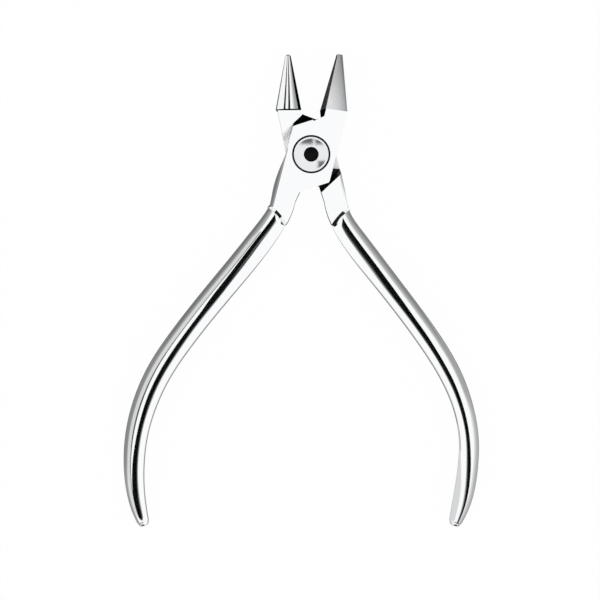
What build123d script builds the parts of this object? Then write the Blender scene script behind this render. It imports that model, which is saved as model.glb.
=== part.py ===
from build123d import *
import os
from math import cos, hypot, radians, sin, tan

# Orthodontic bird-beak pliers, lying on their back and held open.
# +Z is the pivot axis, +Y runs from the pivot to the beak tips.
# The joint's flat back face is at Z = 0.
# Both arms are one forging. It is drawn closed, as the front arm: lap plate on top, beak on +X, handle on -X.
# The back arm is the same forging turned over about Y.

# Lap joint
joint_thickness = 7.8
joint_half_width = 6.45
lap_gap = 0.06
half_opening = 12.7
lap_tilt = 32.0
front_plate_reach = 8.5
back_plate_reach = 9.6
front_plate_low_reach = 8.5
back_plate_low_reach = 6.9
wall_gap = 0.24
wall_slope = 1.5
plate_bevel = 1.9
corner_round = 0.8
overrun = 3.0

# Beak roots, above the pivot: the face towards the other beak leans, and lies this far out at mid height
front_root_face = 0.1
back_root_face = 0.78
root_lean = 0.77
round_seam_height = 12.5
pyramid_seam_height = 12.95
pyramid_seam_tilt = 5.5

# Handle root, below the pivot
crotch_inside = 0.5
root_reach = 19.2
root_end_hollow = 0.35
root_end_slope_width = 0.9
root_end_slope_depth = 1.4
front_root_bulge = 1.05
back_root_bulge = 0.45
outer_bulge_shares = ((0.13, 0.104), (0.59, 0.26), (0.95, 0.415), (1.0, 0.62), (0.82, 0.808))
inner_root_shares = ((0.155, 0.674), (0.175, 0.845), (0.27, 1.0))
side_round_inset = 0.16
side_round_width = 1.6
side_round_drop = 2.4
side_round_crown = 0.35

# Handles, as stations of shares: of the drop, the spread, the width and the thickness
handle_start = 13.0
handle_middle = 4.0
handle_thickness = 6.2
handle_end_round = 0.9
front_handle_drop = 93.0
front_handle_spread = 22.5
front_handle_width = 7.1
front_handle_shares = (
    (0.0, 0.0, 0.79, 0.84),
    (0.054, 0.038, 0.885, 0.855),
    (0.118, 0.131, 0.967, 0.935),
    (0.215, 0.307, 1.0, 0.984),
    (0.333, 0.538, 0.987, 1.0),
    (0.452, 0.756, 0.974, 0.984),
    (0.559, 0.916, 0.96, 0.952),
    (0.656, 0.993, 0.921, 0.903),
    (0.753, 1.0, 0.855, 0.839),
    (0.839, 0.942, 0.785, 0.79),
    (0.914, 0.842, 0.685, 0.726),
    (0.968, 0.731, 0.545, 0.64),
    (1.0, 0.646, 0.4, 0.52),
)
back_handle_drop = 90.6
back_handle_spread = 22.7
back_handle_width = 6.65
back_handle_shares = (
    (0.0, 0.0, 0.82, 0.84),
    (0.055, 0.022, 0.885, 0.855),
    (0.121, 0.117, 0.985, 0.935),
    (0.221, 0.313, 0.985, 0.984),
    (0.342, 0.555, 0.945, 1.0),
    (0.464, 0.780, 0.93, 0.984),
    (0.574, 0.934, 0.88, 0.952),
    (0.673, 1.0, 0.81, 0.903),
    (0.762, 0.99, 0.795, 0.839),
    (0.85, 0.905, 0.81, 0.79),
    (0.916, 0.806, 0.785, 0.726),
    (0.966, 0.706, 0.645, 0.64),
    (1.0, 0.627, 0.45, 0.52),
)

# Beak inserts, brazed into the roots on a round spigot
beak_face_inside = 0.08
spigot_radius = 1.6
spigot_length = 3.0
cone_half_angle = 10.65
cone_length = 15.1
cone_neck_radius = 3.1
cone_bevel = 0.3
cone_bevel_height = 0.7
pyramid_length = 15.0
pyramid_outside = 6.45
pyramid_tip_outside = 1.5
pyramid_half_thickness = 3.3
pyramid_tip_half_thickness = 0.75
pyramid_lean = 0.72
pyramid_tip_lean = 0.16
pyramid_edge_round = 0.25

# Pivot screw and the key pin that locks its thread
head_radius = 4.7
head_height = 1.9
head_rim_bevel = 0.15
head_side_gap = 0.2
head_seat_gap = 0.05
head_recess = 0.1
dish_rim = 0.35
dish_depth = 0.5
shank_radius = 2.75
shank_running_gap = 0.03
thread_radius = 2.0
socket_core_radius = 1.42
socket_lobe_radius = 0.62
socket_lobe_offset = 1.36
socket_lobes = 6
socket_depth = 2.2
socket_drill_depth = 0.5
socket_drill_taper = 60
lock_pin_radius = 0.5
lock_pin_length = 2.4

mid_height = joint_thickness / 2
plate_floor = mid_height + lap_gap / 2
back_plate_face = joint_thickness - plate_floor
cone_lean = radians(cone_half_angle)
cone_root_radius = cone_neck_radius + cone_bevel
beak_middle = beak_face_inside + cone_root_radius / cos(cone_lean) + cone_bevel_height * sin(cone_lean)
tilt_cos = cos(radians(lap_tilt))
tilt_sin = sin(radians(lap_tilt))


def plate_edge(x, reach):
    """Height up the page of a lap plate's slanted edge, at x."""
    return (reach + x * tilt_sin) / tilt_cos


def wall_reach(reach):
    """Distance from the pivot to a recess wall's foot, so that the other plate's corner swings clear."""
    face_corner = hypot(joint_half_width, plate_edge(joint_half_width, -reach))
    floor_corner = hypot(joint_half_width, plate_edge(joint_half_width, plate_bevel - reach))
    return max(face_corner, floor_corner + wall_slope) + wall_gap


def seam_plane(height, tilt):
    """Plane of a beak's seam with its root, facing along the beak, with its X across the beak."""
    across = (cos(radians(tilt)), sin(radians(tilt)), 0)
    return Plane(origin=(beak_middle, height, mid_height), x_dir=across, z_dir=(-across[1], across[0], 0))


def forged_arm(seam, root_face, reaches, other_reaches, root_bulge, drop, spread, width, shares):
    """One forging in its closed place: lap plate, two roots, and a handle lofted through oval sections."""
    outer = [
        (-joint_half_width - bulge * root_bulge, -down * root_reach) for bulge, down in outer_bulge_shares
    ]
    inner = [(-out * joint_half_width, -down * root_reach) for out, down in inner_root_shares]
    outer_end, inner_end = Vector(*outer[-1]), Vector(*inner[-1])
    uphill = Vector(0, 0, 1).cross(inner_end - outer_end).normalized()
    outer_foot = outer_end - uphill * root_end_slope_width
    inner_foot = inner_end - uphill * root_end_slope_width
    foot_middle = (outer_foot + inner_foot) / 2 + uphill * root_end_hollow
    top_reach, low_reach = reaches
    other_top_reach, other_low_reach = other_reaches
    root_foot = root_face - root_lean
    crotch = (-crotch_inside, plate_edge(-crotch_inside, -low_reach))
    low_corner = (joint_half_width, plate_edge(joint_half_width, -low_reach))
    high_corner = (-joint_half_width, plate_edge(-joint_half_width, top_reach))
    beak_corner = (root_foot, plate_edge(root_foot, top_reach))
    seam_slope = seam.x_dir.Y / seam.x_dir.X
    seam_inside = (root_foot, seam.origin.Y + (root_foot - beak_middle) * seam_slope)
    seam_outside = (joint_half_width, seam.origin.Y + (joint_half_width - beak_middle) * seam_slope)

    with BuildPart() as arm:
        # Whole outline of the joint, at full thickness
        with BuildSketch() as outline:
            with BuildLine():
                Polyline((-joint_half_width, 0), high_corner, beak_corner, seam_inside, seam_outside)
                Polyline(seam_outside, low_corner, crotch, inner[0])
                Spline(*inner)
                Line(inner_end, inner_foot)
                ThreePointArc(inner_foot, foot_middle, outer_foot)
                Line(outer_foot, outer_end)
                Spline(*outer[::-1], (-joint_half_width, 0), tangents=((0, 1), (0, 1)))
            make_face()
            plate_corners = [v for v in outline.vertices() if (v.X, v.Y) in (low_corner, high_corner)]
            fillet(plate_corners, corner_round)
        extrude(amount=joint_thickness)

        # Sloped end of the handle root, down to the handle from both faces
        for which in (-1, 0):
            face = arm.faces().sort_by(Axis.Z)[which]
            end_arc = face.edges().filter_by(GeomType.CIRCLE).sort_by(Axis.Y)[0]
            chamfer(end_arc, root_end_slope_width, root_end_slope_depth, reference=face)

        # Recess for the other arm's plate, with sloped walls
        start = -joint_half_width - overrun
        middle = -start * tilt_sin / tilt_cos
        low_wall = wall_reach(other_low_reach)
        high_wall = wall_reach(other_top_reach)
        with BuildSketch(Plane.YZ.offset(start)):
            with BuildLine():
                Polyline(
                    (middle - low_wall / tilt_cos, -overrun),
                    (middle - low_wall / tilt_cos, 0),
                    (middle - (low_wall - wall_slope) / tilt_cos, plate_floor),
                    (middle + (high_wall - wall_slope) / tilt_cos, plate_floor),
                    (middle + high_wall / tilt_cos, 0),
                    (middle + high_wall / tilt_cos, -overrun),
                    close=True,
                )
            make_face()
        extrude(amount=-2 * start / tilt_cos, dir=(tilt_cos, -tilt_sin, 0), mode=Mode.SUBTRACT)

        # Leaning face of the beak root, with the bevel under the plate's upper edge running up to it
        bevel = plate_bevel / tilt_cos
        lean_at_floor = root_foot + 2 * root_lean * plate_floor / joint_thickness
        root_top = root_foot + 2 * root_lean
        upper_cut = [
            (root_top, plate_edge(root_top, top_reach), joint_thickness),
            (lean_at_floor, plate_edge(lean_at_floor, top_reach) - bevel, plate_floor),
            (root_foot, plate_edge(root_foot, top_reach) - bevel, 0),
            (root_foot, seam.origin.Y + overrun, 0),
            (root_top, seam.origin.Y + overrun, joint_thickness),
        ]
        extrude(
            Face(Wire.make_polygon(upper_cut)),
            amount=(root_top - start) / tilt_cos,
            dir=(-tilt_cos, -tilt_sin, 0),
            mode=Mode.SUBTRACT,
        )

        # Bevel under the plate's lower edge, from the crotch outwards
        edge = plate_edge(-crotch_inside, -low_reach)
        with BuildSketch(Plane.YZ.offset(-crotch_inside)):
            with BuildLine():
                Polyline(
                    (edge, joint_thickness),
                    (edge + bevel, plate_floor),
                    (edge + bevel, plate_floor - lap_gap),
                    (edge - overrun, plate_floor - lap_gap),
                    (edge - overrun, joint_thickness),
                    close=True,
                )
            make_face()
        extrude(amount=(crotch_inside - start) / tilt_cos, dir=(tilt_cos, tilt_sin, 0), mode=Mode.SUBTRACT)

        # Under the lap faces nothing reaches past the crotch, where the other arm's root closes
        with BuildSketch():
            with Locations((-crotch_inside, 0)):
                Rectangle(joint_half_width + overrun, root_reach, align=(Align.MIN, Align.MAX))
        extrude(amount=plate_floor, mode=Mode.SUBTRACT)

        # Rounded outer sides of the handle root, on both faces
        inside = -joint_half_width + side_round_inset
        for face, up in ((joint_thickness, 1), (0, -1)):
            low = face - up * side_round_drop
            with BuildSketch(Plane.XZ):
                with BuildLine():
                    ThreePointArc(
                        (inside, face),
                        (
                            inside - (side_round_width + side_round_crown) / 2,
                            face - up * (side_round_drop - side_round_crown) / 2,
                        ),
                        (inside - side_round_width, low),
                    )
                    Polyline(
                        (inside - side_round_width, low),
                        (inside - side_round_width - overrun, low),
                        (inside - side_round_width - overrun, face + up * overrun),
                        (inside, face + up * overrun),
                        (inside, face),
                    )
                make_face()
            extrude(amount=root_reach, dir=(0, -1, 0), mode=Mode.SUBTRACT)

        # Handle, from inside the root to its rounded end
        places = [(-handle_middle - out * spread, -handle_start - down * drop) for down, out, _, _ in shares]
        for number, (x, y) in enumerate(places):
            before = Vector(*places[max(number - 1, 0)])
            after = Vector(*places[min(number + 1, len(places) - 1)])
            along = after - before
            section = Plane(origin=(x, y, mid_height), x_dir=(-along.Y, along.X, 0), z_dir=along)
            with BuildSketch(section):
                Ellipse(width * shares[number][2] / 2, handle_thickness * shares[number][3] / 2)
        loft()
        end = arm.edges().sort_by(Axis.Y)[0]
        fillet(end, handle_end_round)
    return arm.part


# Seams of the two beaks, in the closed frame of the arm that carries them
round_seam = seam_plane(round_seam_height, cone_half_angle)
pyramid_seam = seam_plane(pyramid_seam_height, pyramid_seam_tilt)

# Places of the two arms: each swings half the opening, and the back arm is turned over first
front_place = Location((0, 0, 0), (0, 0, -half_opening))
screw_place = Location((0, 0, 0), (0, 0, half_opening))
back_place = screw_place * Location((0, 0, joint_thickness), (0, 180, 0))

counterbore_radius = head_radius + head_side_gap
head_top = joint_thickness - head_recess
counterbore_floor = head_top - head_height - head_seat_gap
bore_radius = shank_radius + shank_running_gap

with BuildPart() as front_arm:
    add(
        forged_arm(
            seam=pyramid_seam,
            root_face=front_root_face,
            reaches=(front_plate_reach, front_plate_low_reach),
            other_reaches=(back_plate_reach, back_plate_low_reach),
            root_bulge=front_root_bulge,
            drop=front_handle_drop,
            spread=front_handle_spread,
            width=front_handle_width,
            shares=front_handle_shares,
        )
    )
    with BuildSketch(Plane.XY.offset(counterbore_floor)):
        Circle(counterbore_radius)
    extrude(amount=joint_thickness - counterbore_floor, mode=Mode.SUBTRACT)
    with BuildSketch(Plane.XY.offset(mid_height)):
        Circle(bore_radius)
    extrude(amount=mid_height, mode=Mode.SUBTRACT)
    with BuildSketch(pyramid_seam):
        Circle(spigot_radius)
    extrude(amount=-spigot_length, mode=Mode.SUBTRACT)
front_arm.part = front_arm.part.moved(front_place)
front_arm.part.label = "front_arm"

with BuildPart() as back_arm:
    add(
        forged_arm(
            seam=round_seam,
            root_face=back_root_face,
            reaches=(back_plate_reach, back_plate_low_reach),
            other_reaches=(front_plate_reach, front_plate_low_reach),
            root_bulge=back_root_bulge,
            drop=back_handle_drop,
            spread=back_handle_spread,
            width=back_handle_width,
            shares=back_handle_shares,
        )
    )
    with BuildSketch(Plane.XY.offset(mid_height)):
        Circle(thread_radius)
    extrude(amount=mid_height, mode=Mode.SUBTRACT)
    with BuildSketch(round_seam):
        Circle(spigot_radius)
    extrude(amount=-spigot_length, mode=Mode.SUBTRACT)
    with BuildSketch(Plane.XY.offset(joint_thickness - lock_pin_length)):
        with Locations((thread_radius, 0)):
            Circle(lock_pin_radius)
    extrude(amount=lock_pin_length, mode=Mode.SUBTRACT)
back_arm.part = back_arm.part.moved(back_place)
back_arm.part.label = "back_arm"

with BuildPart() as round_beak:
    taper_height = cone_length - cone_bevel_height
    tip_radius = (cone_root_radius - taper_height * tan(cone_lean)) / (1 / cos(cone_lean) - tan(cone_lean))
    tip_centre = cone_length - tip_radius
    tip_touch = (tip_radius * cos(cone_lean), tip_centre + tip_radius * sin(cone_lean))
    tip_turn = (radians(90) + cone_lean) / 2
    tip_middle = (tip_radius * cos(tip_turn), tip_centre + tip_radius * sin(tip_turn))
    with BuildSketch(Plane(origin=round_seam.origin, x_dir=round_seam.x_dir, z_dir=(0, 0, 1))):
        with BuildLine():
            Polyline(
                (0, cone_length),
                (0, -spigot_length),
                (spigot_radius, -spigot_length),
                (spigot_radius, 0),
                (cone_neck_radius, 0),
                (cone_root_radius, cone_bevel_height),
                tip_touch,
            )
            ThreePointArc(tip_touch, tip_middle, (0, cone_length))
        make_face()
    revolve(axis=Axis(round_seam.origin, round_seam.z_dir))
round_beak.part = round_beak.part.moved(back_place)
round_beak.part.label = "round_beak"

with BuildPart() as pyramid_beak:
    sections = (
        (0, pyramid_outside, pyramid_half_thickness, pyramid_lean),
        (pyramid_length, pyramid_tip_outside, pyramid_tip_half_thickness, pyramid_tip_lean),
    )
    for height, outside, half, lean in sections:
        stretch = 1 / pyramid_seam.x_dir.X
        face_side = (beak_face_inside - beak_middle) * stretch
        back_side = (outside - beak_middle) * stretch
        with BuildSketch(seam_plane(pyramid_seam_height + height, pyramid_seam_tilt)):
            with BuildLine():
                Polyline(
                    (face_side + lean, -half),
                    (back_side, -half),
                    (back_side, half),
                    (face_side - lean, half),
                    close=True,
                )
            make_face()
    loft(ruled=True)
    fillet(pyramid_beak.faces().sort_by(Axis.Y)[-1].edges(), pyramid_edge_round)
    with BuildSketch(pyramid_seam):
        Circle(spigot_radius)
    extrude(amount=-spigot_length)
pyramid_beak.part = pyramid_beak.part.moved(front_place)
pyramid_beak.part.label = "pyramid_beak"

with BuildPart() as pivot_screw:
    head_floor = head_top - head_height
    with BuildSketch(Plane.XZ):
        with BuildLine():
            Polyline(
                (0, head_top - dish_depth),
                (0, 0),
                (thread_radius, 0),
                (thread_radius, back_plate_face),
                (shank_radius, back_plate_face),
                (shank_radius, head_floor),
                (head_radius, head_floor),
                (head_radius, head_top - head_rim_bevel),
                (head_radius - head_rim_bevel, head_top),
                (head_radius - head_rim_bevel - dish_rim, head_top),
            )
            RadiusArc(
                (head_radius - head_rim_bevel - dish_rim, head_top),
                (0, head_top - dish_depth),
                (head_radius - head_rim_bevel - dish_rim) ** 2 / (2 * dish_depth) + dish_depth / 2,
            )
        make_face()
    revolve(axis=Axis.Z)
    with BuildSketch(Plane.XY.offset(head_top)):
        Circle(socket_core_radius)
        with PolarLocations(socket_lobe_offset, socket_lobes):
            Circle(socket_lobe_radius)
    extrude(amount=-socket_depth, mode=Mode.SUBTRACT)
    with BuildSketch(Plane.XY.offset(head_top - socket_depth)):
        Circle(socket_core_radius)
    extrude(amount=-socket_drill_depth, taper=socket_drill_taper, mode=Mode.SUBTRACT)
    with BuildSketch():
        with Locations((-thread_radius, 0)):
            Circle(lock_pin_radius)
    extrude(amount=lock_pin_length, mode=Mode.SUBTRACT)
pivot_screw.part = pivot_screw.part.moved(screw_place)
pivot_screw.part.label = "pivot_screw"

with BuildPart() as lock_pin:
    with BuildSketch():
        with Locations((-thread_radius, 0)):
            Circle(lock_pin_radius)
    extrude(amount=lock_pin_length)
lock_pin.part = lock_pin.part.moved(screw_place)
lock_pin.part.label = "lock_pin"

os.makedirs("parts", exist_ok=True)
for piece in (front_arm, back_arm, pyramid_beak, round_beak, pivot_screw, lock_pin):
    export_step(piece.part, f"parts/{piece.part.label}.step")
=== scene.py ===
import bmesh
import bpy
from math import cos, hypot, pi, radians, sin, sqrt, tan
from mathutils import Matrix, Vector


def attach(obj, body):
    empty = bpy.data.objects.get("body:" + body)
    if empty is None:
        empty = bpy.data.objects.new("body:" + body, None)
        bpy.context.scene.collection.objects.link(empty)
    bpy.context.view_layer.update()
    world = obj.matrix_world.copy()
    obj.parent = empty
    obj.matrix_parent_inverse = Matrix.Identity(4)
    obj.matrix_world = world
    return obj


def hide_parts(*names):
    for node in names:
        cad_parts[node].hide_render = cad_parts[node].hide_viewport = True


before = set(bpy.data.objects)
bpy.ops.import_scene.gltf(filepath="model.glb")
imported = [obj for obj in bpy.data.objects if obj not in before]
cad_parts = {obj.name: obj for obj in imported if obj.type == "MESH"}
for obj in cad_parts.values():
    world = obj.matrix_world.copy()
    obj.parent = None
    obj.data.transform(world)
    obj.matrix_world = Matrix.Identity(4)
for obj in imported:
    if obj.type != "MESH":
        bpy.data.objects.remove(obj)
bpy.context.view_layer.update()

# Camera: straight above the pliers with a long lens, turned a little clockwise about the view,
# as the pliers lie in the photograph. Sizes in millimetres become metres with mm.
mm = 0.001
photo_pixels = 600
photo_pixel_size = 0.264 * mm
pivot_pixel = (311.2, 154.6)
picture_turn = radians(1.6)
camera_height = 600 * mm
face_height = 6 * mm
sensor_width = 36

centre_right = (photo_pixels / 2 - pivot_pixel[0]) * photo_pixel_size
centre_up = (pivot_pixel[1] - photo_pixels / 2) * photo_pixel_size
camera = bpy.data.objects.new("camera", bpy.data.cameras.new("camera"))
camera.data.sensor_width = sensor_width
camera.data.lens = sensor_width * camera_height / (photo_pixels * photo_pixel_size)
camera.location = Matrix.Rotation(picture_turn, 3, "Z") @ Vector((centre_right, centre_up, 0))
camera.location.z = camera_height + face_height
camera.rotation_euler = (0, 0, picture_turn)
camera.data.clip_start = 10 * mm
camera.data.clip_end = 10
bpy.context.scene.collection.objects.link(camera)
bpy.context.scene.camera = camera


# Arms: two stainless steel forgings, lapped at the joint, ground flat on both faces there and mirror
# polished all over. Each joint block is the CAD solid with its outer edges just broken, and each
# handle is swept finely along its bow and joined on, so that its reflections run smooth.
joint_thickness = 7.8 * mm
half_opening = radians(12.7)
half_width = 6.45 * mm
root_reach = 19.2 * mm
root_end_outer_share = 0.82
root_end_outer_drop_share = 0.808
root_end_inner_share = 0.27
root_end_hollow = 0.35 * mm
root_end_slope_width = 0.9 * mm
cut_inside = 0.02 * mm
cutter_reach = 110 * mm
cut_steps = 12
edge_break = 0.1 * mm
corner_chamfer = 0.4 * mm
corner_near = (0.45 * mm, 8.5 * mm)
corner_far = (2.9 * mm, 11.6 * mm)
counterbore_radius = 4.85 * mm
counterbore_edge = 0.2 * mm
counterbore_sides = 144
lap_gap = 0.1 * mm
lap_level = 3.9 * mm
sharp_angle = radians(20)
flat_angle = radians(0.3)
level_area = 4 * mm ** 2
level_tolerance = 1e-6
polish_depth = 0.025 * mm
eased_corner = (-7.57 * mm, -2.29 * mm)
eased_reach = 0.2 * mm
eased_shift = (-0.045 * mm, -0.111 * mm)
merge_distance = 0.0001 * mm
handle_start = 13 * mm
handle_middle = 4 * mm
handle_thickness = 6.2 * mm
handle_end_round = 0.9 * mm
handle_sides = 72
cone_sides = 96
rings_per_station = 16
end_rings = 8
arms = {
    "front": dict(
        node="front_arm",
        hand=1,
        root_bulge=1.05 * mm,
        drop=93 * mm,
        spread=22.5 * mm,
        width=7.1 * mm,
        shares=(
            (0.0, 0.0, 0.79, 0.84),
            (0.054, 0.038, 0.885, 0.855),
            (0.118, 0.131, 0.967, 0.935),
            (0.215, 0.307, 1.0, 0.984),
            (0.333, 0.538, 0.987, 1.0),
            (0.452, 0.756, 0.974, 0.984),
            (0.559, 0.916, 0.96, 0.952),
            (0.656, 0.993, 0.921, 0.903),
            (0.753, 1.0, 0.855, 0.839),
            (0.839, 0.942, 0.785, 0.79),
            (0.914, 0.842, 0.685, 0.726),
            (0.968, 0.731, 0.545, 0.64),
            (1.0, 0.646, 0.4, 0.52),
        ),
    ),
    "back": dict(
        node="back_arm",
        hand=-1,
        root_bulge=0.45 * mm,
        drop=90.6 * mm,
        spread=22.7 * mm,
        width=6.65 * mm,
        shares=(
            (0.0, 0.0, 0.82, 0.84),
            (0.055, 0.022, 0.885, 0.855),
            (0.121, 0.117, 0.985, 0.935),
            (0.221, 0.313, 0.985, 0.984),
            (0.342, 0.555, 0.945, 1.0),
            (0.464, 0.780, 0.93, 0.984),
            (0.574, 0.934, 0.88, 0.952),
            (0.673, 1.0, 0.81, 0.903),
            (0.762, 0.99, 0.795, 0.839),
            (0.85, 0.905, 0.81, 0.79),
            (0.916, 0.806, 0.785, 0.726),
            (0.966, 0.706, 0.645, 0.64),
            (1.0, 0.627, 0.45, 0.52),
        ),
    ),
}


def add_node(tree, kind, inputs=None, **settings):
    """Adds one node to a tree. An input is given a value, or the socket that it is linked from."""
    node = tree.nodes.new(kind)
    for name, value in settings.items():
        setattr(node, name, value)
    for name, value in (inputs or {}).items():
        if isinstance(value, bpy.types.NodeSocket):
            tree.links.new(value, node.inputs[name])
        else:
            node.inputs[name].default_value = value
    return node


def linear(hex_colour):
    """An sRGB hex colour as the linear RGBA that Blender's sockets hold."""
    shares = [int(hex_colour[i:i + 2], 16) / 255 for i in (1, 3, 5)]
    return (*[s / 12.92 if s <= 0.04045 else ((s + 0.055) / 1.055) ** 2.4 for s in shares], 1)


def new_material(name):
    """An empty node material, its tree and the socket for its surface."""
    material = bpy.data.materials.new(name)
    material.use_nodes = True
    material.node_tree.nodes.clear()
    output = add_node(material.node_tree, "ShaderNodeOutputMaterial")
    return material, material.node_tree, output.inputs["Surface"]


def plain_steel(name, hex_colour, metallic, roughness):
    """A steel of one even colour and roughness."""
    material, tree, surface = new_material(name)
    values = {"Base Color": linear(hex_colour), "Metallic": metallic, "Roughness": roughness}
    tree.links.new(add_node(tree, "ShaderNodeBsdfPrincipled", values).outputs[0], surface)
    return material


def object_from(name, mesh):
    """A new object in the scene, at the origin, that holds the mesh."""
    made = bpy.data.objects.new(name, mesh)
    bpy.context.scene.collection.objects.link(made)
    return made


def apply_modifiers(made):
    """Turns an object's modifiers into its mesh."""
    bpy.context.view_layer.update()
    graph = bpy.context.evaluated_depsgraph_get()
    mesh = bpy.data.meshes.new_from_object(
        made.evaluated_get(graph), preserve_all_data_layers=True, depsgraph=graph
    )
    made.modifiers.clear()
    made.data = mesh


def cut_or_join(made, other, operation):
    """Cuts another object out of this one, or joins it on, and removes the other."""
    modifier = made.modifiers.new("cut", "BOOLEAN")
    modifier.operation = operation
    modifier.object = other
    modifier.solver = "EXACT"
    apply_modifiers(made)
    bpy.data.objects.remove(other)


def prism(name, outline, low, high):
    """A closed prism that stands on a flat outline."""
    build = bmesh.new()
    floor = build.faces.new([build.verts.new((x, y, low)) for x, y in outline])
    grown = bmesh.ops.extrude_face_region(build, geom=[floor])["geom"]
    bmesh.ops.translate(
        build, vec=(0, 0, high - low), verts=[v for v in grown if isinstance(v, bmesh.types.BMVert)]
    )
    bmesh.ops.recalc_face_normals(build, faces=build.faces)
    mesh = bpy.data.meshes.new(name)
    build.to_mesh(mesh)
    build.free()
    return object_from(name, mesh)


def smooth_by_angle(mesh):
    """Smooth shading that stops at edges sharper than the limit, and at the edges of large level faces."""
    build = bmesh.new()
    build.from_mesh(mesh)
    level = set()
    for face in build.faces:
        face.smooth = True
        if 1 - abs(face.normal.z) < level_tolerance and face.calc_area() > level_area:
            level.update(face.edges)
    for edge in build.edges:
        edge.smooth = edge.is_manifold and edge not in level and edge.calc_face_angle(0) < sharp_angle
    build.to_mesh(mesh)
    build.free()


def opened(x, y, hand):
    """A point of a closed arm, swung to its open place. The hand is 1 in front and -1 at the back."""
    turned = x * cos(half_opening) + y * sin(half_opening)
    return hand * turned, y * cos(half_opening) - x * sin(half_opening)


def spline_through(points, steps):
    """A natural cubic spline through points of any dimension, with equal steps in each span."""
    gaps = [hypot(q[0] - p[0], q[1] - p[1]) for p, q in zip(points, points[1:])]
    count = len(points)
    columns = []
    for values in zip(*points):
        slopes = [(b - a) / gap for a, b, gap in zip(values, values[1:], gaps)]
        bends, pivots, sides = [0.0] * count, [1.0] * count, [0.0] * count
        for i in range(1, count - 1):
            pivots[i] = 2 * (gaps[i - 1] + gaps[i])
            sides[i] = 6 * (slopes[i] - slopes[i - 1])
            if i > 1:
                share = gaps[i - 1] / pivots[i - 1]
                pivots[i] -= share * gaps[i - 1]
                sides[i] -= share * sides[i - 1]
        for i in range(count - 2, 0, -1):
            bends[i] = (sides[i] - gaps[i] * bends[i + 1]) / pivots[i]
        column = []
        for i, gap in enumerate(gaps):
            for step in range(steps):
                t = step / steps
                bow = ((1 - t) ** 3 - (1 - t)) * bends[i] + (t ** 3 - t) * bends[i + 1]
                column.append((1 - t) * values[i] + t * values[i + 1] + bow * gap ** 2 / 6)
        columns.append(column + [values[-1]])
    return list(zip(*columns))


# The oval sweep: one ring of vertices for each point of a path, sized by the path's own attributes.
oval_sweep = bpy.data.node_groups.new("oval_sweep", "GeometryNodeTree")
for name, kind, way in (
    ("Path", "NodeSocketGeometry", "INPUT"),
    ("Width", "NodeSocketFloat", "INPUT"),
    ("Thickness", "NodeSocketFloat", "INPUT"),
    ("Sides", "NodeSocketInt", "INPUT"),
    ("Material", "NodeSocketMaterial", "INPUT"),
    ("Handle", "NodeSocketGeometry", "OUTPUT"),
):
    oval_sweep.interface.new_socket(name, in_out=way, socket_type=kind)
given = add_node(oval_sweep, "NodeGroupInput").outputs
path_size = add_node(
    oval_sweep, "GeometryNodeAttributeDomainSize", {"Geometry": given["Path"]}, component="MESH"
).outputs["Point Count"]
last = add_node(oval_sweep, "ShaderNodeMath", {0: path_size, 1: 1}, operation="SUBTRACT").outputs[0]
grid = add_node(
    oval_sweep,
    "GeometryNodeMeshGrid",
    {"Size X": last, "Size Y": 1, "Vertices X": path_size, "Vertices Y": given["Sides"]},
).outputs["Mesh"]
spot = add_node(
    oval_sweep, "ShaderNodeSeparateXYZ", {0: add_node(oval_sweep, "GeometryNodeInputPosition").outputs[0]}
).outputs
ring = add_node(
    oval_sweep, "ShaderNodeMath", {0: last, 1: 0.5, 2: spot["X"]}, operation="MULTIPLY_ADD"
).outputs[0]
angle = add_node(oval_sweep, "ShaderNodeMath", {0: spot["Y"], 1: 2 * pi}, operation="MULTIPLY").outputs[0]
path_spot = add_node(oval_sweep, "GeometryNodeInputPosition").outputs[0]


def along_path(kind, value, shift):
    """Reads a value of the path's points, at this ring or at one beside it."""
    index = add_node(oval_sweep, "ShaderNodeMath", {0: ring, 1: shift}, operation="ADD").outputs[0]
    rounded = add_node(oval_sweep, "ShaderNodeMath", {0: index, 1: 0}, operation="ROUND").outputs[0]
    return add_node(
        oval_sweep,
        "GeometryNodeSampleIndex",
        {"Geometry": given["Path"], "Value": value, "Index": rounded},
        data_type=kind,
        clamp=True,
    ).outputs["Value"]


ahead = add_node(
    oval_sweep,
    "ShaderNodeVectorMath",
    {0: along_path("FLOAT_VECTOR", path_spot, 1), 1: along_path("FLOAT_VECTOR", path_spot, -1)},
    operation="SUBTRACT",
).outputs[0]
across = add_node(
    oval_sweep, "ShaderNodeVectorMath", {0: ahead, 1: (0, 0, 1)}, operation="CROSS_PRODUCT"
).outputs[0]
across = add_node(oval_sweep, "ShaderNodeVectorMath", {0: across}, operation="NORMALIZE").outputs[0]
moves = []
for share, size, wave, direction in (
    ("width_share", "Width", "COSINE", across),
    ("thickness_share", "Thickness", "SINE", (0, 0, 1)),
):
    attribute = add_node(
        oval_sweep, "GeometryNodeInputNamedAttribute", {"Name": share}, data_type="FLOAT"
    ).outputs["Attribute"]
    share_here = along_path("FLOAT", attribute, 0)
    reach = add_node(
        oval_sweep, "ShaderNodeMath", {0: share_here, 1: given[size]}, operation="MULTIPLY"
    ).outputs[0]
    swing = add_node(oval_sweep, "ShaderNodeMath", {0: angle}, operation=wave).outputs[0]
    half = add_node(oval_sweep, "ShaderNodeMath", {0: reach, 1: 0.5}, operation="MULTIPLY").outputs[0]
    length = add_node(oval_sweep, "ShaderNodeMath", {0: swing, 1: half}, operation="MULTIPLY").outputs[0]
    moves.append(
        add_node(
            oval_sweep, "ShaderNodeVectorMath", {0: direction, "Scale": length}, operation="SCALE"
        ).outputs[0]
    )
offset = add_node(oval_sweep, "ShaderNodeVectorMath", {0: moves[0], 1: moves[1]}, operation="ADD").outputs[0]
place = add_node(
    oval_sweep,
    "ShaderNodeVectorMath",
    {0: along_path("FLOAT_VECTOR", path_spot, 0), 1: offset},
    operation="ADD",
).outputs[0]
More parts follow.
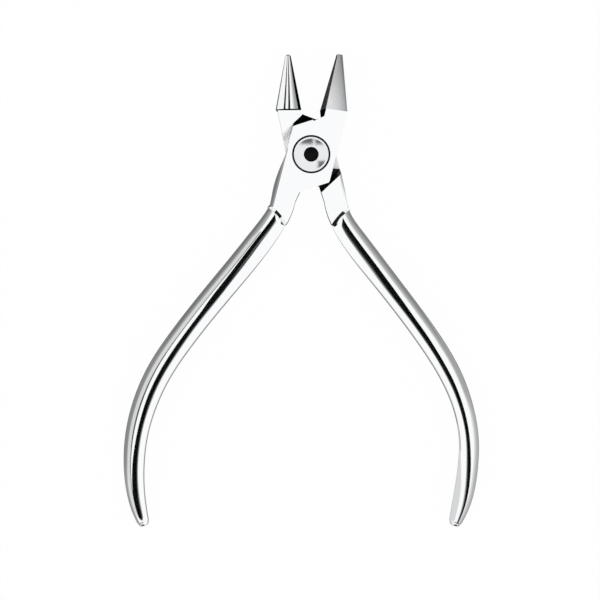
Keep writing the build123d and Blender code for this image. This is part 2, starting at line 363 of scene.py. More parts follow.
swept = add_node(oval_sweep, "GeometryNodeSetPosition", {"Geometry": grid, "Position": place}).outputs[0]
welded = add_node(
    oval_sweep, "GeometryNodeMergeByDistance", {"Geometry": swept, "Distance": merge_distance}
).outputs[0]
real = add_node(oval_sweep, "GeometryNodeRealizeInstances", {"Geometry": welded}).outputs[0]
finished = add_node(
    oval_sweep, "GeometryNodeSetMaterial", {"Geometry": real, "Material": given["Material"]}
).outputs[0]
add_node(oval_sweep, "NodeGroupOutput", {"Handle": finished})


def run_tree(name, mesh, tree, values):
    """Runs a Geometry Nodes tree on a mesh and returns the result as a plain object."""
    made = object_from(name, mesh)
    modifier = made.modifiers.new(name, "NODES")
    modifier.node_group = tree
    for item in tree.interface.items_tree:
        if item.in_out == "INPUT" and item.name in values:
            modifier[item.identifier] = values[item.name]
    apply_modifiers(made)
    build = bmesh.new()
    build.from_mesh(made.data)
    bmesh.ops.remove_doubles(build, verts=build.verts, dist=merge_distance)
    bmesh.ops.recalc_face_normals(build, faces=build.faces)
    build.to_mesh(made.data)
    build.free()
    return made


def handle_path(arm):
    """The middle line of one handle from its root, with its shares of width and thickness."""
    stations = []
    for down, out, wide, thick in arm["shares"]:
        x, y = opened(-handle_middle - out * arm["spread"], -handle_start - down * arm["drop"], arm["hand"])
        stations.append((x, y, wide, thick))
    return spline_through(stations, rings_per_station)


def handle_of(name, arm, material):
    """The swept handle of one arm, closed at both ends and rounded at the free one."""
    path = handle_path(arm)
    tip, near = path[-1], path[-2]
    gap = hypot(tip[0] - near[0], tip[1] - near[1])
    step = ((tip[0] - near[0]) / gap, (tip[1] - near[1]) / gap)
    while hypot(path[-1][0] - tip[0], path[-1][1] - tip[1]) < handle_end_round:
        path.pop()
    for ring_number in range(end_rings + 1):
        turn = pi / 2 * ring_number / end_rings
        back = handle_end_round * (1 - sin(turn))
        inset = 2 * handle_end_round * (1 - cos(turn))
        path.append(
            (
                tip[0] - step[0] * back,
                tip[1] - step[1] * back,
                tip[2] - inset / arm["width"],
                tip[3] - inset / handle_thickness,
            )
        )
    path = [(*path[0][:2], 0, 0)] + path + [(*path[-1][:2], 0, 0)]
    mesh = bpy.data.meshes.new(name)
    mesh.from_pydata([(x, y, joint_thickness / 2) for x, y, _, _ in path], [], [])
    for column, share in ((2, "width_share"), (3, "thickness_share")):
        mesh.attributes.new(share, "FLOAT", "POINT").data.foreach_set("value", [p[column] for p in path])
    values = {
        "Width": arm["width"] - 2 * polish_depth,
        "Thickness": handle_thickness,
        "Sides": handle_sides + 1,
        "Material": material,
    }
    return run_tree(name, mesh, oval_sweep, values)


def merged_copy(name, node, material):
    """A copy of a CAD node's mesh as one closed shell of large faces."""
    build = bmesh.new()
    build.from_mesh(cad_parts[node].data)
    bmesh.ops.remove_doubles(build, verts=build.verts, dist=merge_distance)
    bmesh.ops.recalc_face_normals(build, faces=build.faces)
    mesh = bpy.data.meshes.new(name)
    build.to_mesh(mesh)
    build.free()
    mesh.materials.clear()
    mesh.materials.append(material)
    return object_from(name, mesh)


def break_edges(made, width):
    """Rounds the sharp outer edges of a shell, by less than the width where short edges leave no room."""
    build = bmesh.new()
    build.from_mesh(made.data)
    bmesh.ops.dissolve_limit(build, angle_limit=flat_angle, verts=build.verts, edges=build.edges)
    weight = build.edges.layers.float.new("bevel_weight_edge")
    for edge in build.edges:
        edge[weight] = float(edge.is_convex and edge.calc_face_angle(0) > sharp_angle)
    build.to_mesh(made.data)
    build.free()
    bevel = made.modifiers.new("edge_break", "BEVEL")
    bevel.width = width
    bevel.segments = 2
    bevel.limit_method = "WEIGHT"
    apply_modifiers(made)


def chamfer_corner(made, near, far, width):
    """Chamfers the front face's edges between two corners of a box, before the other edges are broken."""
    build = bmesh.new()
    build.from_mesh(made.data)
    bmesh.ops.dissolve_limit(build, angle_limit=flat_angle, verts=build.verts, edges=build.edges)
    top = joint_thickness - lap_gap
    for edge in build.edges[:]:
        a, b = (v.co for v in edge.verts)
        if min(a.z, b.z) > top and min(a.x, b.x) < near[0] < max(a.x, b.x):
            share = (near[0] - a.x) / (b.x - a.x)
            if near[1] < a.lerp(b, share).y < far[1]:
                bmesh.utils.edge_split(edge, edge.verts[0], share)
    picked = []
    for edge in build.edges:
        a, b = (v.co for v in edge.verts)
        middle = (a + b) / 2
        if min(a.z, b.z) > top and near[0] < middle.x < far[0] and near[1] < middle.y < far[1]:
            picked.append(edge)
    bmesh.ops.bevel(build, geom=picked, offset=width, segments=1, affect="EDGES", profile=0.5)
    build.to_mesh(made.data)
    build.free()


def ease_corner(made):
    """Stones back the recess wall's outer corner, so that the arms just clear each other wide open."""
    for vertex in made.data.vertices:
        away = hypot(vertex.co.x - eased_corner[0], vertex.co.y - eased_corner[1])
        if away < eased_reach and vertex.co.z < lap_level + lap_gap:
            vertex.co.x += eased_shift[0]
            vertex.co.y += eased_shift[1]


def countersink(made):
    """Takes the sharp edge off the screw's counterbore."""
    build = bmesh.new()
    bmesh.ops.create_cone(
        build,
        cap_ends=True,
        segments=counterbore_sides,
        radius1=counterbore_radius - counterbore_edge,
        radius2=counterbore_radius + 2 * counterbore_edge,
        depth=3 * counterbore_edge,
        matrix=Matrix.Translation((0, 0, joint_thickness - counterbore_edge / 2)),
    )
    mesh = bpy.data.meshes.new("countersink_cutter")
    build.to_mesh(mesh)
    build.free()
    cut_or_join(made, object_from("countersink_cutter", mesh), "DIFFERENCE")


def joint_block_of(name, arm, material):
    """The arm's CAD solid, cut off along the foot of its root's sloped end, with its edges broken."""
    block = merged_copy(name, arm["node"], material)
    outer = Vector(
        (-half_width - root_end_outer_share * arm["root_bulge"], -root_end_outer_drop_share * root_reach)
    )
    inner = Vector((-root_end_inner_share * half_width, -root_reach))
    along = (inner - outer).normalized()
    downhill = Vector((along.y, -along.x))
    foot = downhill * (root_end_slope_width - cut_inside)
    outline = []
    for number in range(cut_steps + 1):
        t = number / cut_steps
        hollow = root_end_hollow * 4 * t * (1 - t)
        outline.append(outer.lerp(inner, t) + foot - downhill * hollow)
    outline += [
        outline[-1] + along * cutter_reach,
        outline[-1] + (along + downhill) * cutter_reach,
        outline[0] + (downhill - along) * cutter_reach,
        outline[0] - along * cutter_reach,
    ]
    outline = [opened(p.x, p.y, arm["hand"]) for p in outline]
    cutter = prism(name + "_cutter", outline, -joint_thickness, 2 * joint_thickness)
    cut_or_join(block, cutter, "DIFFERENCE")
    if arm["hand"] == 1:
        chamfer_corner(block, corner_near, corner_far, corner_chamfer)
    break_edges(block, edge_break)
    if arm["hand"] == 1:
        ease_corner(block)
        countersink(block)
    return block


# Mirror polished stainless steel: buffed until it reflects like a mirror, with the faint waviness
# that a buffing wheel leaves, and hair-fine wipe marks that soften the reflections here and there.
wheel_wave_length = 9 * mm
wheel_wave_depth = 0.3 * mm
wipe_mark_length = 4 * mm

polished_steel, tree, surface = new_material("polished_stainless_steel_buffed")
place = add_node(tree, "ShaderNodeTexCoord").outputs["Object"]
waves = add_node(tree, "ShaderNodeTexNoise", {"Vector": place, "Scale": 1 / wheel_wave_length, "Detail": 1})
peel = add_node(
    tree,
    "ShaderNodeBump",
    {"Height": waves.outputs["Fac"], "Strength": 0.02, "Distance": wheel_wave_depth},
)
haze = add_node(tree, "ShaderNodeTexNoise", {"Vector": place, "Scale": 1 / wipe_mark_length, "Detail": 6})
rough = add_node(tree, "ShaderNodeMapRange", {0: haze.outputs["Fac"], 3: 0.045, 4: 0.11})
shader = add_node(
    tree,
    "ShaderNodeBsdfPrincipled",
    {
        "Base Color": linear("#EDEEEF"),
        "Metallic": 1,
        "Roughness": rough.outputs[0],
        "Normal": peel.outputs[0],
    },
)
tree.links.new(shader.outputs[0], surface)

# Painted shade: where the arms lie in one another and in the narrow corners beside them, the steel is
# painted near-black and left rougher, as the shade and dark reflections in these gaps.
lap_shade_steel = plain_steel("stainless_steel_painted_lap_shade", "#1C1C1D", 1, 0.32)

# Satin steel: the outer ends of the back arm's recess and the root slopes beside the handles are
# blasted and never buffed, so they scatter the white tent and look pale, with no reflection.
satin_steel = plain_steel("stainless_steel_satin", "#FEFEFE", 0.25, 0.9)

# Planes that bound the lap's painted shade on the back arm: beyond them its recess walls and lap get satin
# steel.
painted_shade_edge = -5 * mm
painted_shade_low = -3.4 * mm
painted_shade_right = 5.4 * mm
lap_zone_reach = 20.5 * mm
slope_dark = {"front": (7.6 * mm, 9.3 * mm), "back": (0, 9.4 * mm)}
wall_end = -14 * mm
slope_start = -13.5 * mm
slope_reach = 14 * mm
slope_level_shares = (0.45, 0.62)
slope_outward_share = 0.5
lap_level_share = 0.9
wall_level_share = 0.95
wall_inward_share = 0.2
shade_index, satin_index = 1, 2


def paint_lap_shade(made, body):
    """Gives the painted shade steel and the satin steel to the lap, recess walls, counterbore and root
    slopes.
    """
    made.data.materials.append(lap_shade_steel)
    made.data.materials.append(satin_steel)
    build = bmesh.new()
    build.from_mesh(made.data)
    for place, normal in (
        ((painted_shade_edge, 0, 0), (1, 0, 0)),
        ((painted_shade_right, 0, 0), (1, 0, 0)),
        ((0, painted_shade_low, 0), (0, 1, 0)),
    ):
        every = build.verts[:] + build.edges[:] + build.faces[:]
        bmesh.ops.bisect_plane(build, geom=every, plane_co=place, plane_no=normal)
    for face in build.faces:
        place, normal = face.calc_center_median(), face.normal
        away = hypot(place.x, place.y)
        inward = -(place.x * normal.x + place.y * normal.y) / away
        level = abs(normal.z)
        lap = abs(place.z - lap_level) < lap_gap and level > lap_level_share
        wall = inward > wall_inward_share and level < wall_level_share and place.y > wall_end
        bright = place.x < painted_shade_edge or (place.x > painted_shade_right and place.y > painted_shade_low)
        if body == "back" and bright and (wall or lap) and away < lap_zone_reach:
            face.material_index = satin_index
            continue
        corner = (
            body == "front"
            and level < wall_level_share
            and place.z > joint_thickness - corner_chamfer
            and corner_near[0] < place.x < corner_far[0]
            and corner_near[1] < place.y < corner_far[1]
        )
        slope = (
            place.y < slope_start
            and slope_level_shares[0] < level < slope_level_shares[1]
            and away > slope_reach
            and inward < -slope_outward_share
        )
        if slope and not slope_dark[body][0] < abs(place.x) < slope_dark[body][1]:
            face.material_index = satin_index
            continue
        bore = (
            body == "front"
            and away < counterbore_radius + counterbore_edge
            and lap_level + lap_gap < place.z < joint_thickness - edge_break
        )
        # Painted shade: these faces get the near-black steel, as the shade and dark reflections in the lap,
        # recess walls, counterbore, corner chamfer and root slopes.
        if slope or corner or bore or (away < lap_zone_reach and (lap or wall)):
            face.material_index = shade_index
    build.to_mesh(made.data)
    build.free()


for body, arm in arms.items():
    forging = joint_block_of(body + "_arm_forging", arm, polished_steel)
    paint_lap_shade(forging, body)
    handle = handle_of(body + "_handle", arm, polished_steel)
    cut_or_join(forging, handle, "UNION")
    smooth_by_angle(forging.data)
    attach(forging, body)
    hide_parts(arm["node"])


# Round beak: a cone of hard tool steel, turned, lapped to a mirror and brazed into the back root on a
# spigot. Its base is bevelled all round, and the bevel is painted near-black as a thin line of shade.
cone_half_angle = radians(10.65)
cone_length = 15.1 * mm
cone_neck_radius = 3.1 * mm
cone_root_radius = 3.4 * mm
cone_bevel_height = 0.45 * mm
cone_seam_height = 12.5 * mm
beak_middle = 3.669 * mm
spigot_radius = 1.6 * mm
spigot_length = 3 * mm
cone_tip_steps = 10
lapping_mark_length = 2 * mm

# Lapped tool steel: turned hard and lapped with paste, so it mirrors the studio in long straight bands
# that are a little softer than on the buffed arms.
lapped_steel, tree, surface = new_material("tool_steel_lapped")
place = add_node(tree, "ShaderNodeTexCoord").outputs["Object"]
haze = add_node(tree, "ShaderNodeTexNoise", {"Vector": place, "Scale": 1 / lapping_mark_length, "Detail": 4})
rough = add_node(tree, "ShaderNodeMapRange", {0: haze.outputs["Fac"], 3: 0.05, 4: 0.12})
shader = add_node(
    tree,
    "ShaderNodeBsdfPrincipled",
    {"Base Color": linear("#E9EAEC"), "Metallic": 1, "Roughness": rough.outputs[0]},
)
tree.links.new(shader.outputs[0], surface)

taper_height = cone_length - cone_bevel_height
tip_radius = (cone_root_radius - taper_height * tan(cone_half_angle)) / (
    1 / cos(cone_half_angle) - tan(cone_half_angle)
)
profile = [
    (-spigot_length, 0),
    (-spigot_length, spigot_radius),
    (0, spigot_radius),
    (0, cone_neck_radius),
    (cone_bevel_height, cone_root_radius),
]
for number in range(cone_tip_steps + 1):
    turn = cone_half_angle + (pi / 2 - cone_half_angle) * number / cone_tip_steps
    profile.append((cone_length - tip_radius * (1 - sin(turn)), tip_radius * cos(turn)))
path = []
for height, radius in profile:
    x = beak_middle - height * sin(cone_half_angle)
    y = cone_seam_height + height * cos(cone_half_angle)
    path.append((*opened(x, y, -1), radius / cone_root_radius))
mesh = bpy.data.meshes.new("round_beak_cone")
mesh.from_pydata([(x, y, joint_thickness / 2) for x, y, _ in path], [], [])
for share in ("width_share", "thickness_share"):
    mesh.attributes.new(share, "FLOAT", "POINT").data.foreach_set("value", [p[2] for p in path])
values = {
    "Width": 2 * cone_root_radius,
    "Thickness": 2 * cone_root_radius,
    "Sides": cone_sides + 1,
    "Material": lapped_steel,
}
cone = run_tree("round_beak_cone", mesh, oval_sweep, values)

# Painted shade: the bevel at the cone's base is painted near-black, as the thin dark line of shade that
# shows in the groove there.
groove_shade_steel = plain_steel("cone_groove_painted_shade", "#121213", 1, 0.5)
cone.data.materials.append(groove_shade_steel)
pointing = Vector((*opened(-sin(cone_half_angle), cos(cone_half_angle), -1), 0))
seam_place = Vector((*opened(beak_middle, cone_seam_height, -1), 0))
for face in cone.data.polygons:
    height = (face.center - seam_place).dot(pointing)
    if 0 < height < cone_bevel_height:
        face.material_index = len(cone.data.materials) - 1
smooth_by_angle(cone.data)
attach(cone, "back")
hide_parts("round_beak")


# Pyramid beak: a four-sided point of tool steel, brazed into the front root and ground on a fine
# wheel. It is left matte, so that wire doesn't slip on it, and its long edges are just rounded.
pyramid_edge = 0.18 * mm
pyramid_lean_angle = radians(-8)
pyramid_inward = (-0.991, -0.133)
pyramid_right_side = 10.58 * mm
pyramid_width = 4.2 * mm
pyramid_shade_power = 0.5
streak_width = 0.14 * mm
streak_length = 6 * mm
streak_depth = 0.01 * mm
streak_colour_share = 0.24

# Fine ground tool steel: the wheel's streaks run along the beak and spread the light, so it looks grey.
# Its colour varies with the streaks and carries painted shade across the face: darker towards the right
# edge and lighter towards the inner edge. The streaks are drawn coarser than they are, so that they show.
ground_steel_painted_shade, tree, surface = new_material("tool_steel_fine_ground_painted_shade")
place = add_node(tree, "ShaderNodeTexCoord").outputs["Object"]
stretched = add_node(
    tree,
    "ShaderNodeMapping",
    {"Vector": place, "Rotation": (0, 0, pyramid_lean_angle), "Scale": (1, streak_width / streak_length, 1)},
)
streaks = add_node(
    tree, "ShaderNodeTexNoise", {"Vector": stretched.outputs[0], "Scale": 1 / streak_width, "Detail": 3}
)
rough = add_node(tree, "ShaderNodeMapRange", {0: streaks.outputs["Fac"], 3: 0.3, 4: 0.46})
grain = add_node(
    tree, "ShaderNodeBump", {"Height": streaks.outputs["Fac"], "Strength": 0.3, "Distance": streak_depth}
)
# Painted shade across the face: the colour is darker towards the beak's right edge and lighter towards its
# inner edge.
inside = add_node(
    tree, "ShaderNodeVectorMath", {0: place, 1: (*pyramid_inward, 0)}, operation="DOT_PRODUCT"
).outputs["Value"]
share = add_node(
    tree, "ShaderNodeMapRange", {0: inside, 1: -pyramid_right_side, 2: pyramid_width - pyramid_right_side}
).outputs[0]
shade_gradient = add_node(tree, "ShaderNodeMath", {0: share, 1: pyramid_shade_power}, operation="POWER").outputs[0]
uneven = add_node(
    tree,
    "ShaderNodeMath",
    {0: streaks.outputs["Fac"], 1: streak_colour_share, 2: shade_gradient},
    operation="MULTIPLY_ADD",
).outputs[0]
grain_and_painted_shade = add_node(
    tree, "ShaderNodeMath", {0: uneven, 1: streak_colour_share / 2}, operation="SUBTRACT"
).outputs[0]
colour = add_node(
    tree, "ShaderNodeMix", {0: grain_and_painted_shade, 6: linear("#7E7F81"), 7: linear("#DEDFE1")}, data_type="RGBA"
).outputs[2]
shader = add_node(
    tree,
    "ShaderNodeBsdfPrincipled",
    {
        "Base Color": colour,
        "Metallic": 1,
        "Roughness": rough.outputs[0],
        "Normal": grain.outputs[0],
    },
)
tree.links.new(shader.outputs[0], surface)

pyramid = merged_copy("pyramid_beak_point", "pyramid_beak", ground_steel_painted_shade)
break_edges(pyramid, pyramid_edge)
smooth_by_angle(pyramid.data)
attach(pyramid, "front")
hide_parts("pyramid_beak")


# Pivot screw: turned from stainless bar, with a shallow dished head and a six-lobe socket. Its thread
# holds it in the back arm, so it turns with that arm; the head lies in the front arm's counterbore.
screw_sides = 144
head_radius = 4.7 * mm
head_top = 7.7 * mm
head_height = 1.9 * mm
rim_bevel = 0.15 * mm
dish_radius = 4.2 * mm
dish_depth = 0.5 * mm
dish_rings = 12
shank_radius = 2.75 * mm
thread_radius = 2 * mm
plate_face = 3.87 * mm
screw_end = 0.12 * mm
screw_end_bevel = 0.2 * mm
socket_core_radius = 1.42 * mm
socket_lobe_radius = 0.62 * mm
socket_lobe_offset = 1.36 * mm
socket_lobes = 6
socket_depth = 2.2 * mm
socket_drill_depth = 0.5 * mm
socket_edge = 0.01 * mm
socket_mouth_radius = 1.95 * mm
socket_mouth_depth = 0.35 * mm
turning_pitch = 0.16 * mm
turning_depth = 0.02 * mm
waves_per_unit = 20

# Turned stainless steel: the tool leaves fine rings, which draw the reflections out into sectors round
# the axis. They are drawn coarser than they are, so that they show.
turned_steel, tree, surface = new_material("stainless_steel_turned")
place = add_node(tree, "ShaderNodeTexCoord").outputs["Object"]
rings = add_node(
    tree,
    "ShaderNodeTexWave",
    {"Vector": place, "Scale": 2 * pi / (waves_per_unit * turning_pitch), "Distortion": 0.4, "Detail": 1},
    wave_type="RINGS",
    rings_direction="Z",
)
turned = add_node(
    tree, "ShaderNodeBump", {"Height": rings.outputs["Fac"], "Strength": 0.06, "Distance": turning_depth}
)
around = add_node(tree, "ShaderNodeTangent", direction_type="RADIAL", axis="Z")
shader = add_node(
    tree,
    "ShaderNodeBsdfPrincipled",
    {
        "Base Color": linear("#DFE0E2"),
        "Metallic": 1,
        "Roughness": 0.1,
        "Anisotropic": 0.5,
        "Normal": turned.outputs[0],
        "Tangent": around.outputs[0],
    },
)
tree.links.new(shader.outputs[0], surface)

# Painted shade: the socket and the rim beside the counterbore are painted near-black, as the shade in the
# deep socket and the narrow gap round the head.
socket_shade_steel = plain_steel("steel_painted_socket_shade", "#161617", 1, 0.3)


def socket_radius(angle):
    """Distance from the axis to the six-lobe socket's wall."""
    pitch = 2 * pi / socket_lobes
    turn = (angle + pitch / 2) % pitch - pitch / 2
    side = socket_lobe_offset * sin(turn)
    if abs(side) >= socket_lobe_radius:
        return socket_core_radius
    return max(socket_core_radius, socket_lobe_offset * cos(turn) + sqrt(socket_lobe_radius ** 2 - side ** 2))


def dish_height(radius):
    """Height of the dish below the rim's level, at a distance from the axis."""
    return head_top - dish_depth * (1 - (radius / dish_radius) ** 2)


turned_profile = [
    (0, screw_end, 0),
    (thread_radius - screw_end_bevel, screw_end, 0),
    (thread_radius, screw_end + screw_end_bevel, 0),
    (thread_radius, plate_face, 0),
    (shank_radius, plate_face, 0),
    (shank_radius, head_top - head_height, 0),
    (head_radius, head_top - head_height, 0),
    (head_radius, head_top - rim_bevel, 0),
    (head_radius - rim_bevel, head_top, 0),
]
rim_ring = len(turned_profile) - 2
for number in range(dish_rings + 1):
    turned_profile.append((dish_radius, None, number / dish_rings))
socket_start = len(turned_profile)
turned_profile += [
    (socket_core_radius, head_top - dish_depth - socket_mouth_depth, 1),
    (socket_core_radius, head_top - socket_depth, 1),
    (socket_core_radius, head_top - socket_depth, 0),
    (0, head_top - socket_depth - socket_drill_depth, 0),
]
verts, faces = [], []
for radius, height, lobed in turned_profile:
    for side in range(screw_sides):
        angle = 2 * pi * side / screw_sides
        mouth = socket_radius(angle)
        if height is None:
            mouth = max(mouth + socket_edge, socket_mouth_radius)
        reach = radius + lobed * (mouth - radius)
        turn = angle + half_opening
        level = dish_height(reach) if height is None else height
        verts.append((reach * cos(turn), reach * sin(turn), level))
for ring in range(len(turned_profile) - 1):
    for side in range(screw_sides):
        near, far = ring * screw_sides + side, ring * screw_sides + (side + 1) % screw_sides
        faces.append((near, far, far + screw_sides, near + screw_sides))
mesh = bpy.data.meshes.new("pivot_screw_turned")
mesh.from_pydata(verts, [], faces)
mesh.materials.append(turned_steel)
mesh.materials.append(socket_shade_steel)
# Painted shade: the head's rim bevel and the socket get the near-black steel.
for number, face in enumerate(mesh.polygons):
    ring = number // screw_sides
    face.material_index = 1 if ring == rim_ring or ring >= socket_start - 1 else 0
build = bmesh.new()
build.from_mesh(mesh)
bmesh.ops.remove_doubles(build, verts=build.verts, dist=merge_distance)
bmesh.ops.recalc_face_normals(build, faces=build.faces)
build.to_mesh(mesh)
build.free()
screw = object_from("pivot_screw_turned", mesh)
smooth_by_angle(screw.data)
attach(screw, "back")
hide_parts("pivot_screw")


# Lock pin: a hardened steel key pin, driven half into the screw's thread and half into the back arm.
# It is ground at its end, flush with the arm's back face.
pin_edge = 0.06 * mm
pin = merged_copy("lock_pin_driven", "lock_pin", ground_steel_painted_shade)
break_edges(pin, pin_edge)
smooth_by_angle(pin.data)
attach(pin, "back")
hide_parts("lock_pin")


# Studio: a white floor, a white tent overhead and grey walls beyond it. Polished steel shows only what
# it reflects, so black, grey and white cards hang over and beside the handles and the beaks. The camera
# doesn't see them, they throw no shadow, and they are no part of the pliers.
floor_size = 3
floor_glow_share = 0.97
floor_drop = 0.05 * mm
tent_light = 1.12
card_height = 25 * mm
card_start_height = 12 * mm
floor_mesh = bpy.data.meshes.new("floor")
floor_mesh.from_pydata(
    [(x * floor_size, y * floor_size, -floor_drop) for x, y in ((-1, -1), (1, -1), (1, 1), (-1, 1))],
    [],
    [(0, 1, 2, 3)],
)
floor = object_from("floor", floor_mesh)
floor.visible_glossy = False
paper, tree, surface = new_material("white_paper")
matte = add_node(tree, "ShaderNodeBsdfDiffuse", {"Color": linear("#F4F4F4")})
bright = add_node(tree, "ShaderNodeEmission", {"Color": (1, 1, 1, 1), "Strength": 1})
ray = add_node(tree, "ShaderNodeLightPath").outputs
seen = add_node(
    tree, "ShaderNodeMath", {0: ray["Is Camera Ray"], 1: floor_glow_share}, operation="MULTIPLY"
)
mixed = add_node(
    tree, "ShaderNodeMixShader", {0: seen.outputs[0], 1: matte.outputs[0], 2: bright.outputs[0]}
)
tree.links.new(mixed.outputs[0], surface)
floor_mesh.materials.append(paper)


def card_paper(name, hex_colour):
    """Card that shows one shade in the steel, and fades out where its own attribute rises to one."""
    card, tree, surface = new_material(name)
    fade = add_node(tree, "ShaderNodeAttribute", attribute_name="fade").outputs["Fac"]
    gone = add_node(tree, "ShaderNodeMath", {0: fade, 1: card_fade_power}, operation="POWER").outputs[0]
    clear = add_node(tree, "ShaderNodeBsdfTransparent")
    shade = add_node(tree, "ShaderNodeEmission", {"Color": linear(hex_colour), "Strength": tent_light})
    mixed = add_node(tree, "ShaderNodeMixShader", {0: gone, 1: shade.outputs[0], 2: clear.outputs[0]})
    tree.links.new(mixed.outputs[0], surface)
    return card


def hang_card(name, rows, fades, paper):
    """A card of rows of places, seen only in reflections. Each column has its share of fading out."""
    count = len(fades)
    mesh = bpy.data.meshes.new(name)
    mesh.from_pydata(
        [tuple(place) for row in rows for place in row],
        [],
        [
            (i * count + j, i * count + j + 1, (i + 1) * count + j + 1, (i + 1) * count + j)
            for i in range(len(rows) - 1)
            for j in range(count - 1)
        ],
    )
    mesh.attributes.new("fade", "FLOAT", "POINT").data.foreach_set("value", list(fades) * len(rows))
    mesh.materials.append(paper)
    card = object_from(name, mesh)
    card.visible_camera = False
    card.visible_diffuse = False
    card.visible_shadow = False


def along_handle(arm, stations):
    """Finds the spots for a card beside or over a handle, from distances along it and across it in mm."""
    path = [Vector(p[:2]) for p in handle_path(arm)]
    reach = [0]
    for a, b in zip(path, path[1:]):
        reach.append(reach[-1] + (b - a).length)
    for station in spline_through(stations, card_rows):
        along, others = station[0], station[1:]
        number = max(i for i, r in enumerate(reach[:-1]) if r <= max(along, 0) * mm)
        ahead = (path[number + 1] - path[number]).normalized()
        middle = path[number] + ahead * (along * mm - reach[number])
        yield middle, Vector((-ahead.y, ahead.x)) * arm["hand"], others


def over_handle(arm, height, stations):
    """Rows of a flat card over a handle: each station is a distance along and its columns across."""
    return [
        [(*(middle + across * offset * mm), height) for offset in others]
        for middle, across, others in along_handle(arm, stations)
    ]


def beside_handle(arm, stations):
    """Rows of an upright card beside a handle: each station is along, across, lower edge and upper edge."""
    return [
        [(*(middle + across * offset * mm), level * mm) for level in levels]
        for middle, across, (offset, *levels) in along_handle(arm, stations)
    ]


card_rows = 4
card_fade_power = 2
black_paper = card_paper("black_card", "#030303")
grey_paper = card_paper("grey_card", "#8C8C8C")
pale_paper = card_paper("pale_grey_card", "#DADADA")
line_paper = card_paper("dark_grey_card", "#383838")
white_paper = card_paper("white_card", "#FFFFFF")
high_paper = card_paper("high_grey_card", "#6E6E6E")
side_paper = card_paper("side_grey_card", "#AAAAAA")

# Cards that follow a handle, in millimetres: each row is a distance along the handle from its root and
# the card's columns across it, where more than 0 is towards the inside. The starts are places over the root.
front_black = (
    (12, -12.2, -2.6, 6), (15, -11.7, -1.9, 6.3), (20, -10.5, -0.3, 6.8), (26, -8.1, 2.7, 9.8),
    (32, -6.5, 5.4, 15.4), (39, -2.2, 7.2, 15.8), (45, -1.3, 8.4, 16.8), (52, 0.2, 11, 20.9),
    (58, 1.1, 12.3, 22.2), (65, 0.4, 11.8, 22.7), (71, 1.2, 12.2, 24), (77, 0.3, 12, 23),
    (83, -4.1, 9.6, 22), (89, -9.5, 8.1, 19.9), (95, -18, 4.4, 20), (103, -24, 1.3, 20),
)
front_black_start = ((-10.65, -14.65), (-8.65, -16.65), (-6.4, -18.85))
back_black = (
    (12, -9.2, 0, 8.8, 15.5), (15, -8.9, 0.8, 9, 17), (20, -8.7, 2.5, 9, 20), (26, -7.1, 9, 14, 27),
    (32, -5.2, 11.5, 16, 26), (39, -2.7, 11.5, 15.5, 24), (45, -2.1, 12.5, 16, 24.5),
    (52, -0.2, 13.7, 17, 24), (58, -0.3, 14.6, 18, 27), (65, -0.4, 12.8, 17, 27),
    (71.5, -1.4, 13.2, 17, 25), (76.5, -3.9, 8.4, 12, 19.9), (82, -10.4, 1.7, 4.5, 11),
    (88.5, -18, -7, -4, 2.6), (96, -26, -15.7, -12, -4.4), (106, -32, -19, -15, -7),
)
back_black_start = ((10.3, -15.1), (8.7, -16.7), (6.5, -19), (5.3, -20.2))
front_line = (
    (8, -14.5, -17), (20, -14, -17), (30, -13.5, -16.5), (40, -12.5, -15.5), (50, -11.5, -15),
    (60, -10, -15), (68, -9, -15), (75, -9, -15), (80, -10, -14.5), (90, -13, -16), (104, -17, -19),
)
pale_reach = 45
front_pale = [(along, wide, wide - pale_reach) for along, _, wide in front_line]

# Upright cards beside a handle: each row is a distance along it, one across it, and the card's levels.
front_side = (
    (44, -14, -6, -5.5, -5), (56, -14, -6, 1, 6), (70, -14, -6, 3, 9), (90, -14, -6, 3, 9),
    (108, -14, -6, 3, 9),
)
back_side = (
    (36, -14, -6, -5.5, -5), (50, -14, -6, 1, 8), (64, -14, -6, 4, 15), (90, -14, -6, 5, 17),
    (108, -14, -6, 5, 17),
)
back_inside = (
    (70, 8, -10, -4), (76, 8, -10, 1), (80, 8, -10, 5), (85, 8, -10, 9.7), (92, 8, -10, 17),
    (98, 8, -10, 20), (106, 8, -10, 20),
)
front, back = arms["front"], arms["back"]
for body, height, stations, start, fades in (
    ("front", card_height, front_black, front_black_start, (0, 0, 1)),
    ("back", card_height + mm, back_black, back_black_start, (0, 0, 0.3, 1)),
):
    first = [(x * mm, y * mm, card_start_height) for x, y in start]
    rows = [first] + over_handle(arms[body], height, stations)
    hang_card(f"card_over_{body}_handle", rows, fades, black_paper)
for name, rows, fades, paper in (
    ("line_over_front_handle", over_handle(front, card_height, front_line), (0, 0.3), line_paper),
    ("pale_card_over_front_handle", over_handle(front, card_height, front_pale), (0, 0.6), pale_paper),
    ("card_beside_front_handle", beside_handle(front, front_side), (0, 0.4, 0.7), grey_paper),
    ("card_beside_back_handle", beside_handle(back, back_side), (0, 0.4, 1), side_paper),
    ("card_inside_back_handle", beside_handle(back, back_inside), (0, 0), pale_paper),
):
    hang_card(name, rows, fades, paper)

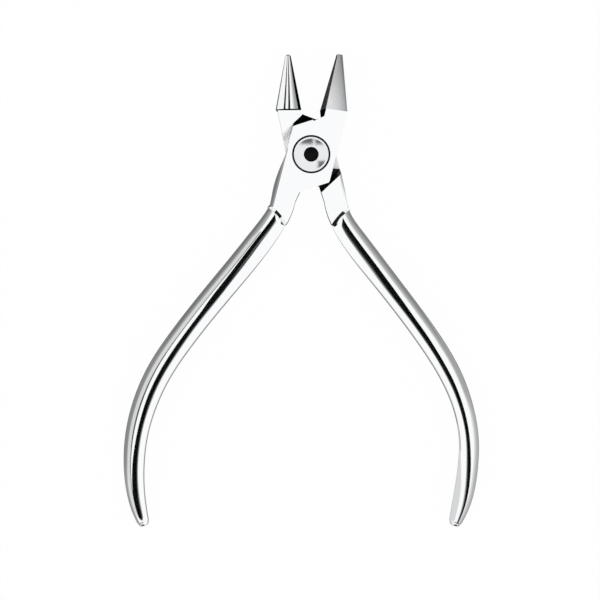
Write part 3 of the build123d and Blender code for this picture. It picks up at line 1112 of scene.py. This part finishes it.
# Cards with straight sides, in millimetres. A level one has its columns, its two ends and its height,
# and an upright one its place across, its two ends and its levels.
level_cards = (
    ("black_card_by_cone", (-58, -28, -24), (17, 60), 40, (0, 0, 1), black_paper),
    ("black_card_over_cone", (-8, 2.5, 5), (27, 60), 40, (0, 0, 1), black_paper),
    ("high_card_over_front_handle", (-42, -11), (-78, -24), 120, (0, 0), high_paper),
    ("high_card_over_back_handle", (-4, 42), (-78, -24), 120, (0, 0), high_paper),
    ("high_card_beside_cone", (-54, -22), (28, 64), 120, (0, 0), high_paper),
    # The card under the joint is painted shadow: a black sheet on the floor where the pliers' own shadow
    # falls, seen only in reflections.
    ("painted_shadow_card_under_joint", (-8, 9), (-16, 28), -0.02, (0, 0), black_paper),
)
for name, columns, ends, height, fades, paper in level_cards:
    rows = [[(x * mm, y * mm, height * mm) for x in columns] for y in ends]
    hang_card(name, rows, fades, paper)
upright_cards = (
    ("white_card_beside_cone", -28, (14, 50), (-10, 26), white_paper),
    ("white_card_between_handles", 0, (-120, -18), (-12, 60), white_paper),
    # The black card between the beaks is painted shade: it stands in the dark gap between the beaks and shows
    # only in reflections.
    ("painted_shade_card_between_beaks", -0.5, (13, 32), (-8, 5.5), black_paper),
)
for name, x, ends, levels, paper in upright_cards:
    rows = [[(x * mm, y * mm, z * mm) for z in levels] for y in ends]
    hang_card(name, rows, (0, 0), paper)

world = bpy.data.worlds.new("studio")
world.use_nodes = True
world.node_tree.nodes.clear()
tree = world.node_tree
way = add_node(tree, "ShaderNodeTexCoord").outputs["Generated"]
part = add_node(tree, "ShaderNodeSeparateXYZ", {0: way}).outputs
azimuth = add_node(tree, "ShaderNodeMath", {0: part["Y"], 1: part["X"]}, operation="ARCTAN2").outputs[0]
zenith = add_node(tree, "ShaderNodeMath", {0: part["Z"]}, operation="ARCCOSINE").outputs[0]


def within(value, low, high, soft):
    """One inside a span of angles and nothing outside it, with a soft step at each end."""
    middle, half = radians(low + high) / 2, radians(high - low) / 2
    away = add_node(tree, "ShaderNodeMath", {0: value, 1: middle}, operation="SUBTRACT").outputs[0]
    turned = add_node(tree, "ShaderNodeMath", {0: away, 1: pi, 2: -pi}, operation="WRAP").outputs[0]
    size = add_node(tree, "ShaderNodeMath", {0: turned}, operation="ABSOLUTE").outputs[0]
    step = add_node(
        tree, "ShaderNodeMapRange", {0: size, 1: half - radians(soft), 2: half + radians(soft), 3: 1, 4: 0}
    )
    return step.outputs[0]


# The tent's walls: spans of azimuth and of the angle from straight up, in degrees, with the softness of
# their edges. Each later span covers the ones before it.
surroundings = (
    (-181, 181, 124, 150, 4, "#B0B0B0"),
    (95, 190, 52, 70, 3, "#D0D0D0"),
    (95, 190, 66, 95, 4, "#A6A6A6"),
    (95, 190, 90, 150, 6, "#808080"),
    (13, 95, 52, 70, 3, "#D8D8D8"),
    (13, 95, 66, 95, 4, "#B0B0B0"),
    (13, 95, 90, 150, 6, "#909090"),
    (-115, -65, 58, 120, 3, "#050505"),
    # Straight down is painted shadow: this dark span stands for the pliers' own shadow on the white floor, as
    # the steel reflects it.
    (-181, 181, 150, 181, 3, "#202020"),
)
shade = None
for from_azimuth, to_azimuth, from_zenith, to_zenith, soft, colour in surroundings:
    inside = add_node(
        tree,
        "ShaderNodeMath",
        {0: within(azimuth, from_azimuth, to_azimuth, soft), 1: within(zenith, from_zenith, to_zenith, soft)},
        operation="MULTIPLY",
    ).outputs[0]
    before = shade or (tent_light, tent_light, tent_light, 1)
    painted = add_node(
        tree, "ShaderNodeMix", {0: inside, 6: before, 7: linear(colour)}, data_type="RGBA"
    )
    shade = painted.outputs[2]
seen = add_node(tree, "ShaderNodeBackground", {"Color": shade, "Strength": 1})
white = add_node(tree, "ShaderNodeBackground", {"Color": (1, 1, 1, 1), "Strength": 1})
ray = add_node(tree, "ShaderNodeLightPath").outputs
mixed = add_node(
    tree, "ShaderNodeMixShader", {0: ray["Is Glossy Ray"], 1: white.outputs[0], 2: seen.outputs[0]}
)
add_node(tree, "ShaderNodeOutputWorld", {"Surface": mixed.outputs[0]})
bpy.context.scene.world = world
bpy.context.scene.view_settings.view_transform = "Standard"
